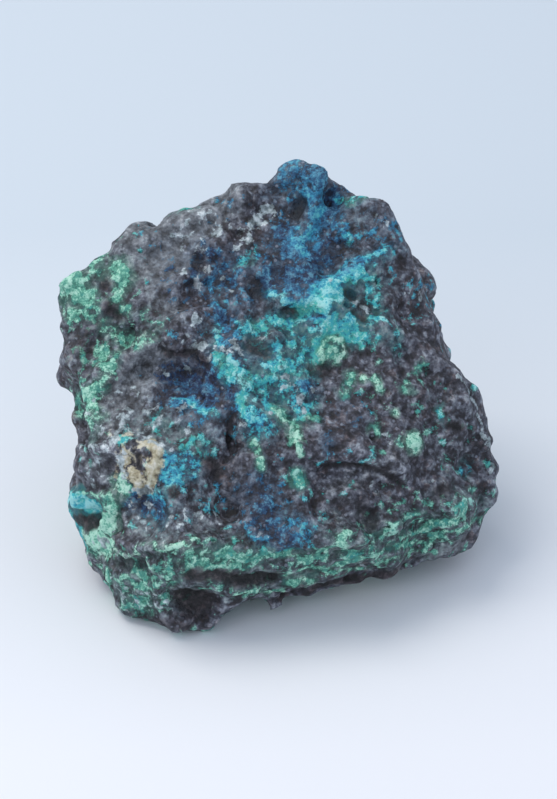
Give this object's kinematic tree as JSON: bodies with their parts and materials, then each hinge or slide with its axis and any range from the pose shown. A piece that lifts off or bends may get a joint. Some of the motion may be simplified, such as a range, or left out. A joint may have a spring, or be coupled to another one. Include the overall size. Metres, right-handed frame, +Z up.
{
  "type": "chrysocolla specimen",
  "caption": "Rough palm-sized chunk of dark copper ore, sloped show face crusted with blue chrysocolla over a green malachite band at its foot.",
  "frame": {"origin": "middle of the stone's box on the surface that it lies on", "axes": "+X to the right along the stone's longest side, +Y to the back, +Z up; the show face slopes back from the front (-Y) and looks up"},
  "size_m": [0.0458, 0.0386, 0.0377],
  "materials": {
    "copper_ore": "rough broken rock, dull sub-metallic gleam, blue, turquoise and green mineral crusts"
  },
  "bodies": {
    "root": {"chrysocolla_stone": "copper_ore"}
  },
  "joints": []
}
